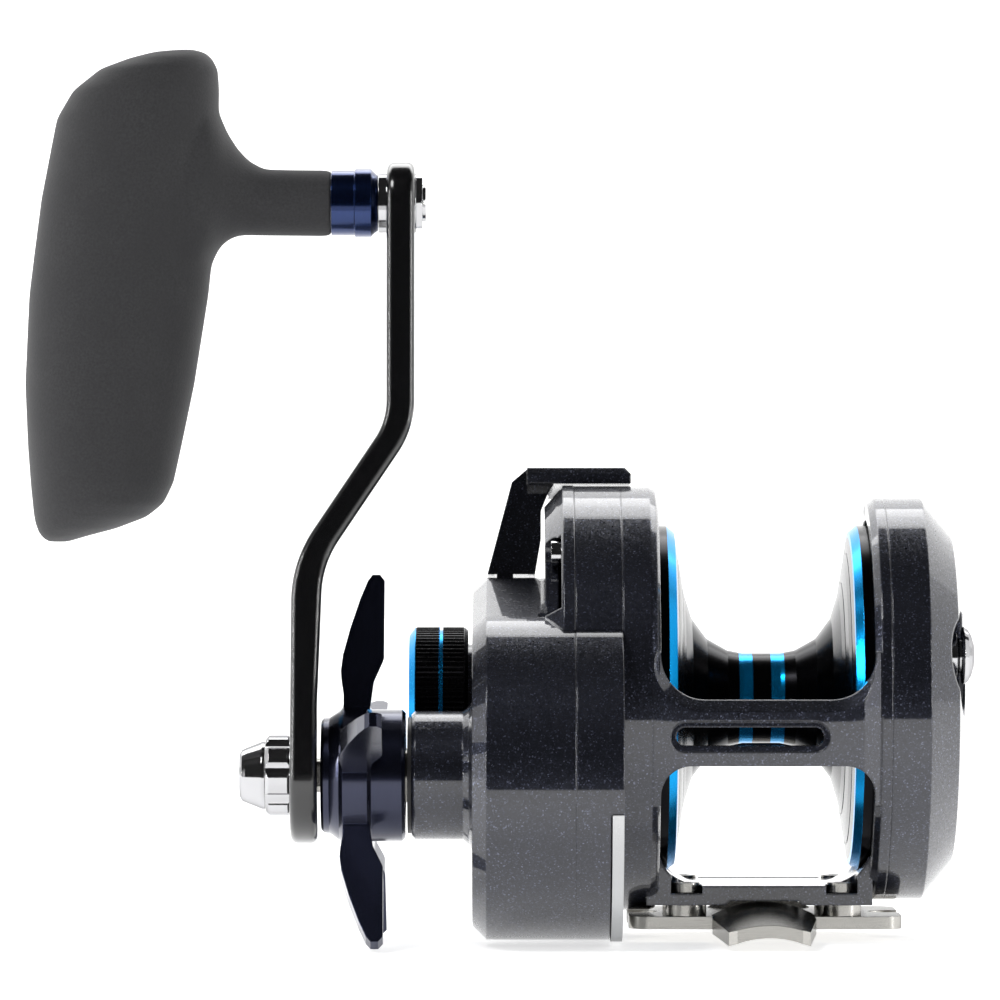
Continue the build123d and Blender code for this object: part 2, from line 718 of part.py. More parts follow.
def make_spring_washers():
    """Thrust washer and two dished spring washers under the drag nut."""
    left = sleeve_left
    flat = tube(5.6, main_shaft + 0.1, left - 0.6, left, main_y, main_z)
    washers = [flat]
    for x0, side in ((left - 1.1, 1), (left - 1.7, -1)):
        near = x0 if side > 0 else x0 + 0.1
        cone = turned([
            (near + side * 0.4, main_shaft + 0.15), (near + side * 0.4 - 0.45,
            main_shaft + 0.15), (near - 0.45, 5.4), (near, 5.4),
        ], main_y, main_z)
        washers.append(cone)
    return Compound(children=washers)


pawl_angle = 240.0
pawl_circle = 14.5


def make_pawl():
    """Back-up anti-reverse pawl, held just off the ratchet by its silencer."""
    py, pz = around(pawl_angle, pawl_circle)
    ty, tz = around(222, ratchet_radius + 0.45)
    body = Circle(2.0)
    beak = make_face(Polyline((-1.9, 0.4), (ty - py, tz - pz), (1.4, 1.4), close=True))
    shape = Pos(py, pz) * (body + beak - Circle(1.0 + run_clear))
    right = gear_right + washer_thick + ratchet_thick
    return slab(shape, right - ratchet_thick + 0.1, right - 0.1, main_y, main_z)


def make_pawl_pin():
    """Pin that carries the pawl, pressed in the inner shell."""
    py, pz = around(pawl_angle, pawl_circle)
    right = gear_right + washer_thick + ratchet_thick
    pin = rod(1.0, right - ratchet_thick - 0.2, floor_left + 0.5, main_y + py, main_z + pz)
    return pin + rod(1.8, right + 0.1, floor_left, main_y + py, main_z + pz)


# ---- star drag -------------------------------------------------------------
star_left = star_right - 12.5
nut_left = star_right - 8.2
nut_thick = 4.0
nut_radius = 5.2
star_hex = nut_radius + 0.05


def star_arm():
    """One tapered, leaning arm of the star, pointing straight up."""
    r = star_right
    profile = [
        (r - 3.1, 28.9), (r - 3.2, 17.4), (r - 3.4, 16.8), (r - 4.7, 13.9), (r - 5.4, 9.0),
        (r - 9.2, 9.0), (r - 9.2, 12.2), (r - 9.5, 14.1), (r - 9.6, 15.6), (r - 9.3, 17.9),
        (r - 8.2, 21.9), (r - 6.7, 26.3), (r - 5.6, 28.9), (r - 4.9, star_tip),
        (r - 3.8, star_tip),
    ]
    face = make_face(Polyline(*profile, close=True))
    side = extrude(face, amount=4, both=True)
    plan = make_face(Polyline(
        (8.0, -2.6), (14.0, -2.1), (22.0, -1.5), (star_tip, -1.05), (star_tip + 1, 0),
        (star_tip, 1.05), (22.0, 1.5), (14.0, 2.1), (8.0, 2.6), close=True,
    ))
    depth = Pos(r - 14, 0, 0) * extrude(Plane.YZ * plan, amount=14)
    return Pos(0, main_y, main_z) * Rot(90, 0, 0) * (side & depth)


def make_star():
    """Star wheel: collar, five arms, cone and end disc, with a hexagonal nut pocket."""
    r = star_right
    hub = turned([
        (r, 0), (r, 9.3), (r - 0.5, 9.8), (r - 5.0, 9.8), (r - 5.6, 10.5), (r - 9.2, 10.5),
        (r - 9.8, 9.7), (r - 11.3, 8.6), (r - 12.1, 8.55), (star_left, 8.1), (star_left, 0),
    ], main_y, main_z)
    star = hub
    for arm in range(star_arms):
        star += turn(star_arm(), arm * 360 / star_arms, main_y, main_z)
    star -= slab(RegularPolygon(star_hex, 6), nut_left - 0.7, r + 1, main_y, main_z)
    star -= rod(6.2, r - 3.6, r + 1, main_y, main_z)
    star -= rod(main_shaft + run_clear, star_left - 1, r, main_y, main_z)
    return star


def make_drag_nut():
    """Drag nut: threaded on the shaft, turned by the star's hexagonal pocket."""
    shape = RegularPolygon(nut_radius, 6) - Circle(main_shaft + run_clear)
    return slab(shape, nut_left, nut_left + nut_thick, main_y, main_z)


# ---- handle ----------------------------------------------------------------
def arm_edge(side):
    """One long edge of the arm's cranked section, side -1 outward and +1 toward the reel."""
    low_x = arm_hub_left + arm_low_mid
    high_x = arm_knob_left + arm_thick / 2
    lean = (high_x - low_x) / (bend_high - bend_low)
    reach = arm_slope_half * hypot(1, lean)
    low = (low_x + side * arm_low_half, bend_low - side * (reach - arm_low_half) / lean)
    high = (high_x + side * arm_high_half, bend_high - side * (reach - arm_high_half) / lean)
    return low, high


def make_handle_arm():
    """Cranked handle arm, broad at the shaft and narrow at the knob."""
    outer_low, outer_high = arm_edge(-1)
    inner_low, inner_high = arm_edge(1)
    hub_right = arm_hub_left + arm_thick + 0.2
    face = make_face(Polyline(
        (arm_hub_left, -15.0), outer_low, outer_high, (outer_high[0], crank_radius + 10),
        (inner_high[0], crank_radius + 10), inner_high, inner_low,
        (hub_right, hub_arm_radius + 0.5), (hub_right, -15.0), close=True,
    ))
    for corner, radius in (
        (outer_low, bend_low_radius + arm_low_half), (inner_low, bend_low_radius - arm_low_half),
        (outer_high, bend_high_radius - arm_high_half),
        (inner_high, bend_high_radius + arm_high_half), ((hub_right, hub_arm_radius + 0.5), 30.0),
    ):
        face = fillet(face.vertices().sort_by_distance((*corner, 0))[0], radius)
    side = Pos(0, main_y, main_z) * extrude(Plane.XZ * face, amount=14, both=True)
    spread = acos((hub_arm_radius - knob_arm_radius) / crank_radius)
    c, s = cos(spread), sin(spread)
    quad = make_face(Polyline(
        (-hub_arm_radius * s, hub_arm_radius * c), (hub_arm_radius * s, hub_arm_radius * c),
        (knob_arm_radius * s, crank_radius + knob_arm_radius * c),
        (-knob_arm_radius * s, crank_radius + knob_arm_radius * c), close=True,
    ))
    outline = Circle(hub_arm_radius) + Pos(0, crank_radius) * Circle(knob_arm_radius) + quad
    plan = slab(outline, arm_hub_left - 2, arm_knob_left + arm_thick + 2, main_y, main_z)
    arm = side & plan
    arm = fillet(arm.edges(), arm_round)
    hole = rod(main_shaft + slip_clear, arm_hub_left - 1, arm_hub_left + hub_thick + 1,
               main_y, main_z)
    arm -= hole & flats(arm_hub_left - 1, arm_hub_left + hub_thick + 1, 1.9 + slip_clear)
    arm -= rod(spindle_radius + slip_clear, arm_knob_left - 1, arm_knob_left + 6,
               main_y, knob_z)
    return arm


def make_handle_nut():
    """Handle nut with eight broad flutes."""
    left = arm_hub_left - 3.6
    nut = turned([
        (left, 0), (left, 5.4), (left + 0.5, 5.95), (arm_hub_left - 0.3, 5.95),
        (arm_hub_left, 5.6), (arm_hub_left, 0),
    ], main_y, main_z)
    for index in range(8):
        y, z = around(45 * index + 10, 7.0)
        nut -= rod(1.6, left - 1, arm_hub_left + 1, main_y + y, main_z + z)
    return nut - rod(2.0 + slip_clear, left - 1, arm_hub_left + 1, main_y, main_z)


def make_handle_cap():
    """Tapered cap screwed on the end of the crank shaft."""
    left = arm_hub_left - 7.5
    cap = turned([
        (left, 0), (left, 3.2), (left + 0.35, 3.8), (left + 0.9, 4.05), (left + 3.3, 5.0),
        (left + 3.8, 5.0), (left + 3.8, 0),
    ], main_y, main_z)
    cap -= rod(2.0 + slip_clear, arm_hub_left - 5.4, arm_hub_left, main_y, main_z)
    return cap


# ---- handle knob -----------------------------------------------------------
grip_inner = star_right - 4.1
spindle_end = star_right - 46.5


def make_knob_spindle():
    """Spindle riveted through the arm, with its neck and end shoulder."""
    outer = arm_knob_left
    return turned([
        (outer + 5.4, 0), (outer + 5.4, spindle_radius), (outer, spindle_radius),
        (outer - 1.3, spindle_radius), (outer - 1.3, 2.7), (grip_inner - 1.05, 2.7),
        (grip_inner - 1.05, spindle_radius), (spindle_end, spindle_radius), (spindle_end, 0),
    ], main_y, knob_z)


def make_spindle_nut():
    """Slotted nut and its tail disc on the inner end of the spindle."""
    right = arm_knob_left + arm_thick + 1.2
    nut = slab(RegularPolygon(4.4, 6) & Circle(4.3), right - 0.95, right, main_y, knob_z)
    nut += rod(2.7, right - 0.1, right + 0.5, main_y, knob_z)
    nut -= rod(spindle_radius + slip_clear, right - 2, right + 0.2, main_y, knob_z)
    slot = block(right + 0.2, right + 1, main_y - 3, main_y + 3, knob_z - 0.3, knob_z + 0.3)
    return nut - slot


def make_spindle_washers():
    """Bright washers on both faces of the arm end."""
    outer = arm_knob_left
    inner = outer + arm_thick
    return Compound(children=[
        tube(4.4, spindle_radius + slip_clear, outer - 1.3, outer - 0.1, main_y, knob_z),
        tube(4.4, spindle_radius + slip_clear, inner + 0.1, inner + 0.25, main_y, knob_z),
    ])


def make_grip_collar():
    """Anodised collar that closes the grip and holds its inner bearing."""
    left = grip_inner - 6.9
    collar = turned([
        (grip_inner, 0), (grip_inner, 4.1), (grip_inner - 0.8, collar_radius),
        (grip_inner - 1.0, 5.1), (grip_inner - 3.4, 5.1), (grip_inner - 3.5, collar_radius),
        (left, collar_radius), (left, 0),
    ], main_y, knob_z)
    collar -= rod(3.1, left - 1, grip_inner + 1, main_y, knob_z)
    return collar - rod(4.0, left - 1, grip_inner - 1.1, main_y, knob_z)


def make_grip_core():
    """Aluminium core tube inside the foam, from the collar to the outer bearing."""
    right = grip_inner - 6.9
    left = spindle_end - 1.0
    core = tube(4.3, 2.6, left, right, main_y, knob_z)
    core += rod(4.9, left, left + 5.4, main_y, knob_z)
    core -= rod(4.0, left + 2.1, left + 5.0, main_y, knob_z)
    core -= rod(3.2, left - 1, left + 6, main_y, knob_z)
    return core


def make_grip_screw():
    """Retaining screw and washer on the outer end of the spindle."""
    return rod(2.9, spindle_end - 0.9, spindle_end, main_y, knob_z)


def grip_stations():
    """Height, outer X, inner X and half thickness of the foam grip's cross-sections."""
    x = star_right
    return (
        (22.4, x - 38.6, x - 31.8, 5.0), (20.6, x - 43.6, x - 28.4, 8.2),
        (16.0, x - 49.9, x - 27.8, 10.8), (9.0, x - 52.4, x - 27.9, 12.0),
        (0.0, x - 54.1, x - 28.0, 12.4), (-8.0, x - 55.3, x - 28.6, 12.4),
        (-14.0, x - 56.0, x - 29.3, 12.3), (-26.5, x - 56.5, x - 31.4, 12.0),
        (-38.0, x - 56.0, x - 33.6, 11.0), (-44.3, x - 55.4, x - 35.8, 9.3),
        (-48.0, x - 54.4, x - 41.5, 6.5), (-50.0, x - 52.6, x - 47.0, 3.0),
    )


def make_grip():
    """Foam grip: a long palm-filling body with a flared stem toward the collar."""
    sections = []
    for height, outer, inner, half in grip_stations():
        place = Pos((outer + inner) / 2, main_y, knob_z + height)
        sections.append(place * Ellipse((inner - outer) / 2, half))
    body = loft(sections)
    x = star_right
    stem = turned([
        (grip_inner - 6.9, 0), (grip_inner - 6.9, collar_radius), (x - 21.0, 5.05),
        (x - 23.3, 6.3), (x - 26.2, 8.8), (x - 29.0, 10.2), (x - 34.0, 10.2), (x - 34.0, 0),
    ], main_y, knob_z)
    grip = body + stem
    grip -= rod(4.3, spindle_end - 1, grip_inner, main_y, knob_z)
    return grip - rod(4.9, spindle_end - 1.0, spindle_end + 4.4, main_y, knob_z)


# ---- spool -----------------------------------------------------------------
def spool_half_profile(side):
    """Line side and outer side of one flange as (x, radius), from hub to rim and back."""
    pairs = [
        (2.8, arbor_radius), (5.1, 7.25), (8.2, 9.0), (10.5, 12.1), (11.6, 15.6),
        (12.0, 17.4), (12.3, 17.5), (12.05, 17.9), (12.4, 20.2), (12.75, 21.9),
        (13.05, 22.0), (12.8, 22.3), (13.2, 25.1), (14.4, flange_radius),
        (spool_half - 0.4, flange_radius), (spool_half, flange_radius - 0.4),
        (spool_half, 23.2), (15.6, 22.4), (14.9, 9.0), (15.4, 6.4), (spool_half, 6.0),
    ]
    return [(side * x, r) for x, r in pairs]


def make_spool():
    """Spool: arbor and two dished flanges turned in one piece."""
    right = spool_half_profile(1)
    left = list(reversed(spool_half_profile(-1)))
    outline = left + right + [(spool_half, spool_shaft), (-spool_half, spool_shaft)]
    return turned(outline)


spool_shaft_right = frame_right + 8.5
spool_shaft_left = face_left - 5.9


def make_spool_shaft():
    """Spool shaft: thick through the spool, thin through the pinion, drilled for the pin."""
    dog = frame_left - 3.0
    shaft = turned([
        (spool_shaft_left, 0), (spool_shaft_left, thin_shaft), (dog + 1.3, thin_shaft),
        (dog + 1.3, spool_shaft), (frame_left + 1.2, spool_shaft),
        (frame_left + 1.2, 3.2), (-spool_half, 3.2), (-spool_half, spool_shaft),
        (spool_half, spool_shaft), (spool_half + 1.3, spool_shaft),
        (spool_half + 1.3, 3.2), (frame_right + 4.1, 3.2), (frame_right + 4.1, spool_shaft),
        (spool_shaft_right, spool_shaft), (spool_shaft_right, 0),
    ])
    return shaft - post(dog_radius, dog, 0, axis_height - 5, axis_height + 5)


def make_dog_pin():
    """Cross pin in the spool shaft that the pinion's slot takes hold of."""
    return post(dog_radius, frame_left - 3.0, 0, axis_height - 3.1, axis_height + 3.1)


def make_click_wheel():
    """Toothed click wheel on the palm end of the spool shaft."""
    outline = Circle(10.2)
    for index in range(30):
        outline += Pos(*around(12 * index, 10.3)) * Circle(0.75)
    return slab(outline - Circle(spool_shaft), spool_half, spool_half + 1.1)


def make_tension_knob():
    """Cast-control knob screwed on its boss, finely knurled with a plain end ring."""
    left = cast_boss_left - 4.2
    right = face_left - 0.7
    body = turned([
        (left, 0), (left, 9.5), (left + 0.9, 10.7), (right - 0.5, 10.7), (right, 10.2),
        (right, 0),
    ])
    knob = body - tube(12, 10.6, left + 1.05, right - 0.6)
    knob += slab(tooth_ring(84, 10.62, 0.24), left + 1.1, right - 0.65)
    knob -= tube(12, 10.3, left + 4.6, left + 5.1)
    knob -= rod(cast_boss_radius + run_clear, cast_boss_left - 0.3, right + 1)
    return knob - rod(3.4, spool_shaft_left - 1.0, cast_boss_left)


def tooth_ring(count, radius, height):
    """Zigzag ring of fine knurl ridges."""
    corners = []
    for index in range(count):
        corners.append(around(360 * index / count, radius - height / 2))
        corners.append(around(360 * (index + 0.5) / count, radius + height / 2))
    return make_face(Polyline(*corners, close=True))


def make_tension_disc():
    """Fibre disc that the shaft end rubs on."""
    return rod(3.3, spool_shaft_left - 0.95, spool_shaft_left - 0.05)


# ---- clicker ---------------------------------------------------------------
def make_clicker_button():
    """Bright waisted button with its stem through the slot."""
    x = recess_floor
    return turned([
        (x - 2.9, 0), (x - 2.9, 1.2), (x + 0.3, 1.2), (x + 0.3, 3.1), (x + 0.7, 3.4),
        (x + 1.6, 3.4), (x + 2.0, 2.6), (x + 2.3, 2.6), (x + 2.4, 4.2), (x + 2.7, 4.3),
        (x + 3.3, 3.9), (x + 3.8, 3.1), (x + 4.2, 1.8), (x + 4.35, 0),
    ], button_y, axis_height + button_z)


def make_clicker_tongue():
    """Click tongue behind the plate, carried by the button."""
    x = recess_floor - 2.9
    body = Circle(2.4) + Pos(1.4, 0) * Rectangle(3.0, 2.2)
    tip = make_face(Polyline((1.5, 1.6), (3.6, 0.4), (3.6, -0.4), (1.5, -1.6), close=True))
    plate = slab(body + tip, x - 1.0, x, button_y, axis_height + button_z)
    leg = block(spool_half + 1.4, x - 0.9, button_y + 1.4, button_y + 2.8,
                axis_height + button_z - 1.0, axis_height + button_z + 1.0)
    return plate + leg


# ---- free-spool lever ------------------------------------------------------
cam_right = gear_left - 1.1
cam_thick = 1.5
cam_left = cam_right - cam_thick
ear_radius = 10.5
ear_angles = (60.0, 240.0)


def yoke_posts():
    """(Y, Z) of the two guide pins of the yoke."""
    places = [around(angle, ear_radius) for angle in ear_angles]
    return [(y, axis_height + z) for y, z in places]


def make_yoke():
    """Fork that grips the pinion's groove, with an ear at each guide pin."""
    strip = Rot(0, 0, -ear_angles[0]) * Rectangle(2 * 15.2, 8.0)
    ears = strip & Circle(15.2)
    fork = ears - Circle(2.6 + 0.15)
    mouth = Rot(0, 0, -ear_angles[0]) * (Pos(0, 6) * Rectangle(2 * 2.75, 12))
    fork -= mouth
    for angle in ear_angles:
        fork -= Pos(*around(angle, ear_radius)) * Circle(0.8 + run_clear)
        for side in (1, -1):
            cut = Pos(*around(angle + side * 22, 15.5)) * Circle(3.1)
            fork -= cut
    return slab(fork, groove_left + 0.1, groove_right - 0.1)


def make_yoke_pins():
    """Guide pins of the yoke, pressed in the cover."""
    return Compound(children=[
        rod(0.8, roof_right - 0.9, groove_right - 0.05, y, z) for y, z in yoke_posts()
    ])


def make_yoke_springs():
    """Light springs that press the yoke toward the spool."""
    springs = []
    length = groove_left - roof_right - 0.65
    for y, z in yoke_posts():
        coil = Helix(pitch=length / 3.2, height=length - 0.35, radius=1.25)
        wire = sweep(Plane(coil @ 0, z_dir=coil % 0) * Circle(0.15), path=coil)
        springs.append(Pos(groove_left - 0.1 - length + 0.17, y, z) * Rot(0, 90, 0) * wire)
    return Compound(children=springs)


def make_cam_ring():
    """Open cam ring inside the housing, with a rising ramp beside each yoke ear."""
    ring = slab(sector(bulge_a - wall - 0.1, 9.0, 17, 250), cam_left, cam_right)
    steps = 7
    for angle in ear_angles:
        for step in range(steps):
            start = angle - 9.5 - (step + 1) * lever_travel / steps
            ramp = sector(bulge_a - wall - 0.1, 13.0, start, start + lever_travel / steps)
            ring += slab(ramp, cam_left - step * clutch_throw / steps - 0.02, cam_left + 0.1)
    y, z = around(lever_angle, 13.8)
    return ring - rod(0.7, cam_left - 1, cam_right + 1, y, axis_height + z)


def make_clutch_lever():
    """Thumb lever: tab on the cam ring, neck through the wall, arm and thumb pad."""
    tab = slab(sector(bulge_a - wall - 0.1, 12.4, lever_angle - 6, lever_angle + 6),
               cam_left - 1.4, cam_left)
    neck = slab(sector(bulge_a + 0.8, bulge_a - wall - 0.9, lever_angle - neck_half,
                       lever_angle + neck_half), neck_left, cam_left)
    low = bulge_a + air
    profile = make_face(Polyline(
        (neck_left - 1.4, low), (rim_left - 1.4, low), (rim_left - 0.5, low + 5.4),
        (rim_left - 0.5, 28.4), (rim_left + 0.4, 30.7), (rim_left + 1.0, 31.8),
        (rim_left + 1.5, pad_under), (rim_left + 1.5, pad_top - 0.1),
        (rim_left - 2.6, pad_top - 0.1), (rim_left - 4.9, pad_top - 2.1), close=True,
    ))
    arm = extrude(profile, amount=2.3, both=True)
    arm = turn(Pos(0, 0, axis_height) * Rot(90, 0, 0) * arm, lever_angle - 90)
    pad = slab(sector(pad_top, pad_under, lever_angle - 12, lever_angle + 12),
               rim_left - 2.6, pad_right)
    outer = [
        edge for edge in pad.edges()
        if hypot(edge.center().Y, edge.center().Z - axis_height) > pad_top - 0.8
        and edge.center().X > rim_left - 2
    ]
    pad = chamfer(outer, 0.9)
    for index in range(5):
        angle = lever_angle - 7 + 3.5 * index
        groove = sector(pad_top + 1, pad_top - 0.35, angle - 0.7, angle + 0.7)
        pad -= slab(groove, rim_left + 0.8, pad_right - 2.0)
    lever = tab + neck + arm + pad
    y, z = around(lever_angle, 13.8)
    return lever - rod(0.75, cam_left - 3, cam_right, y, axis_height + z)


def make_cam_screw():
    """Screw that fixes the lever to the cam ring."""
    y, z = around(lever_angle, 13.8)
    top = cam_left - 1.4
    return rod(0.7, cam_right, top, y, axis_height + z) + rod(
        1.2, top, top - 0.7, y, axis_height + z)


def main():
    """Build and save every part."""
    save(make_frame(), "frame")
    save(make_inner_shell(), "inner_shell")
    save(make_gear_cover(), "gear_cover")
    save(make_backing_plate(), "backing_plate")
    save(make_cover_screws(), "cover_screws")
    save(make_palm_plate(), "palm_plate")
    save(make_palm_screws(), "palm_screws")
    save(make_foot(), "reel_foot")
    save(make_spacers(), "foot_spacers")
    save(make_foot_screws(), "foot_screws")
    save(make_foot_nuts(), "foot_nuts")
    save(make_clutch_shell(), "clutch_shell")
    save(make_clutch_rollers(), "clutch_rollers")
    save(make_sleeve(), "clutch_sleeve")
    save(make_boss_seal(), "boss_seal")
    save(bearing_group(("spool", "crank"), 0), "case_bearing_outers")
    save(bearing_group(("spool", "crank"), 2), "case_bearing_balls")
    save(bearing_group(("spool",), 1), "spool_bearing_inners")
    save(bearing_group(("crank",), 1), "crank_bearing_inners")
    save(bearing_group(("grip",), 0), "grip_bearing_outers")
    save(bearing_group(("grip",), 2), "grip_bearing_balls")
    save(bearing_group(("grip",), 1), "grip_bearing_inners")
    save(make_main_shaft(), "main_shaft")
    save(make_main_gear(), "main_gear")
    save(make_ratchet(), "ratchet_wheel")
    save(make_carbon_washers(), "carbon_washers")
    save(make_steel_washers(), "steel_washers")
    save(make_spring_washers(), "spring_washers")
    save(make_pawl(), "anti_reverse_pawl")
    save(make_pawl_pin(), "pawl_pin")
    save(make_pinion(), "pinion")
    save(make_yoke(), "pinion_yoke")
    save(make_yoke_pins(), "yoke_pins")
    save(make_yoke_springs(), "yoke_springs")
    save(make_cam_ring(), "cam_ring")
    save(make_clutch_lever(), "clutch_lever")
    save(make_cam_screw(), "cam_screw")
    save(make_star(), "star_wheel")
    save(make_drag_nut(), "drag_nut")
    save(make_handle_arm(), "handle_arm")
    save(make_handle_nut(), "handle_nut")
    save(make_handle_cap(), "handle_cap")
    save(make_knob_spindle(), "knob_spindle")
    save(make_spindle_nut(), "spindle_nut")
    save(make_spindle_washers(), "spindle_washers")
    save(make_grip_collar(), "grip_collar")
    save(make_grip_core(), "grip_core")
    save(make_grip_screw(), "grip_screw")
    save(make_grip(), "grip")
    save(make_spool(), "spool")
    save(make_spool_shaft(), "spool_shaft")
    save(make_dog_pin(), "dog_pin")
    save(make_click_wheel(), "click_wheel")
    save(make_tension_knob(), "tension_knob")
    save(make_tension_disc(), "tension_disc")
    save(make_clicker_button(), "clicker_button")
    save(make_clicker_tongue(), "clicker_tongue")


main()
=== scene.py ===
"""Looks of the trolling reel: a finish for every CAD part, the foam grip, light and camera."""

import math

import bmesh
import bpy
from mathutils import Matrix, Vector


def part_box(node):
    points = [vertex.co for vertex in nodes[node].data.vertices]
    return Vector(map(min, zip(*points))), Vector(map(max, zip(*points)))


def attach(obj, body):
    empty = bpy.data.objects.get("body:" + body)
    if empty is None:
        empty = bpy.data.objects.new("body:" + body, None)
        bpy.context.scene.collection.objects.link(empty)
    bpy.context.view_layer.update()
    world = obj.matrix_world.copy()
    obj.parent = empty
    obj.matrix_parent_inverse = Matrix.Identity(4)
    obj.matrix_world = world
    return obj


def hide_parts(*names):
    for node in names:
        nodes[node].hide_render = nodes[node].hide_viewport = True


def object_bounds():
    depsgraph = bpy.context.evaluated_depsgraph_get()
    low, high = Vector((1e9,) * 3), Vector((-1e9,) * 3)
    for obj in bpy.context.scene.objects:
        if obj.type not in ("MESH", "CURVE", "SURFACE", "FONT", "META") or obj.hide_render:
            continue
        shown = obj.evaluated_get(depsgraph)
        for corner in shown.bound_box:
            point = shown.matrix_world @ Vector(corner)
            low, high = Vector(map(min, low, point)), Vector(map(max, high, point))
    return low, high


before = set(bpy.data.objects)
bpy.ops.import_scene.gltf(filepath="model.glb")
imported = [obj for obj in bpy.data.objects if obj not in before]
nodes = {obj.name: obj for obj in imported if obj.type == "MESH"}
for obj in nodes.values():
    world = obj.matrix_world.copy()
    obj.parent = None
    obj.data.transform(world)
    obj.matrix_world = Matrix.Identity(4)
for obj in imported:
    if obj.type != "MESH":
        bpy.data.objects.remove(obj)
cad_low, cad_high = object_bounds()

MM = 0.001
spool_low, spool_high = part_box("spool")
spool_axis = Vector((0, 0, (spool_low.z + spool_high.z) / 2))
spindle_low, spindle_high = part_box("knob_spindle")
knob_axis = Vector((0, (spindle_low.y + spindle_high.y) / 2, (spindle_low.z + spindle_high.z) / 2))


# ---- materials ---------------------------------------------------------------------------
def linear(code, alpha=1.0):
    """An sRGB hex colour as linear values."""
    parts = [int(code[i:i + 2], 16) / 255 for i in (1, 3, 5)]
    return [c / 12.92 if c <= 0.04045 else ((c + 0.055) / 1.055) ** 2.4 for c in parts] + [alpha]


def add(tree, kind, sockets=None, **settings):
    """Adds one node; sockets holds its input values or the outputs that feed them."""
    made = tree.nodes.new(kind)
    for name, value in settings.items():
        setattr(made, name, value)
    for name, value in (sockets or {}).items():
        if isinstance(value, bpy.types.NodeSocket):
            tree.links.new(value, made.inputs[name])
        else:
            made.inputs[name].default_value = value
    return made


def start(name, **values):
    """A new material with its surface shader and the part's own millimetre coordinates."""
    material = bpy.data.materials.new(name)
    material.use_nodes = True
    tree = material.node_tree
    shader = tree.nodes["Principled BSDF"]
    for socket, value in values.items():
        shader.inputs[socket.replace("_", " ")].default_value = value
    place = add(tree, "ShaderNodeTexCoord").outputs["Object"]
    return material, tree, shader, place


def wire(tree, shader, **sources):
    """Feeds the shader's sockets from other nodes' outputs."""
    for socket, source in sources.items():
        tree.links.new(source, shader.inputs[socket.replace("_", " ")])


def per_mm(size):
    """Texture scale for a pattern whose repeat is this many millimetres."""
    return 1.0 / (size * MM)


def metallic_lacquer():
    """Aluminium under sprayed metallic lacquer and clear coat: a dark blue-grey with a fine
    glitter in it and a hard, clear gloss on top."""
    m, t, s, place = start("metallic_lacquer", Metallic=0.75, Coat_Weight=1.0,
                           Coat_Roughness=0.045, Coat_IOR=1.68)
    # the flakes are 0.05 mm; drawn 0.19 mm across so that they show
    flake = add(t, "ShaderNodeTexVoronoi", {"Vector": place, "Scale": per_mm(0.19)})
    split = add(t, "ShaderNodeSeparateColor", {"Color": flake.outputs["Color"]})
    glitter = add(t, "ShaderNodeValToRGB", {"Fac": split.outputs["Red"]})
    ramp = glitter.color_ramp
    ramp.elements[0].color = linear("#1c1e27")
    ramp.elements[1].color = linear("#666b80")
    for position, code in ((0.55, "#23252f"), (0.86, "#2d303c"), (0.96, "#424656")):
        ramp.elements.new(position).color = linear(code)
    rough = add(t, "ShaderNodeMapRange", {
        "Value": split.outputs["Green"], "To Min": 0.30, "To Max": 0.44,
    })
    lean = add(t, "ShaderNodeVectorMath", {0: flake.outputs["Color"], 1: (0.5, 0.5, 0.5)},
               operation="SUBTRACT")
    lean = add(t, "ShaderNodeVectorMath", {0: lean.outputs[0], "Scale": 0.2}, operation="SCALE")
    edge = add(t, "ShaderNodeBevel", {"Radius": 0.4 * MM}, samples=4)
    tilt = add(t, "ShaderNodeVectorMath", {0: edge.outputs["Normal"], 1: lean.outputs[0]},
               operation="ADD")
    normal = add(t, "ShaderNodeVectorMath", {0: tilt.outputs[0]}, operation="NORMALIZE")
    wire(t, s, Base_Color=glitter.outputs["Color"], Roughness=rough.outputs["Result"],
         Normal=normal.outputs[0], Coat_Normal=edge.outputs["Normal"])
    return m


def anodised(name, code, dark, roughness, lathe_mm=0.09, bevel=0.2):
    """Turned aluminium, anodised and dyed: a deep clear colour with faint lathe rings."""
    m, t, s, place = start(name, Metallic=0.95, Coat_Weight=0.6, Coat_Roughness=0.12)
    stretch = add(t, "ShaderNodeMapping", {"Vector": place, "Scale": (1.0, 0.04, 0.04)})
    ring = add(t, "ShaderNodeTexNoise", {
        "Vector": stretch.outputs[0], "Scale": per_mm(lathe_mm), "Detail": 3.0,
    })
    shade = add(t, "ShaderNodeValToRGB", {"Fac": ring.outputs["Fac"]})
    shade.color_ramp.elements[0].color = linear(dark)
    shade.color_ramp.elements[1].color = linear(code)
    rough = add(t, "ShaderNodeMapRange", {
        "Value": ring.outputs["Fac"], "To Min": roughness * 0.85, "To Max": roughness * 1.2,
    })
    edge = add(t, "ShaderNodeBevel", {"Radius": bevel * MM}, samples=4)
    wire(t, s, Base_Color=shade.outputs["Color"], Roughness=rough.outputs["Result"],
         Normal=edge.outputs["Normal"])
    return m


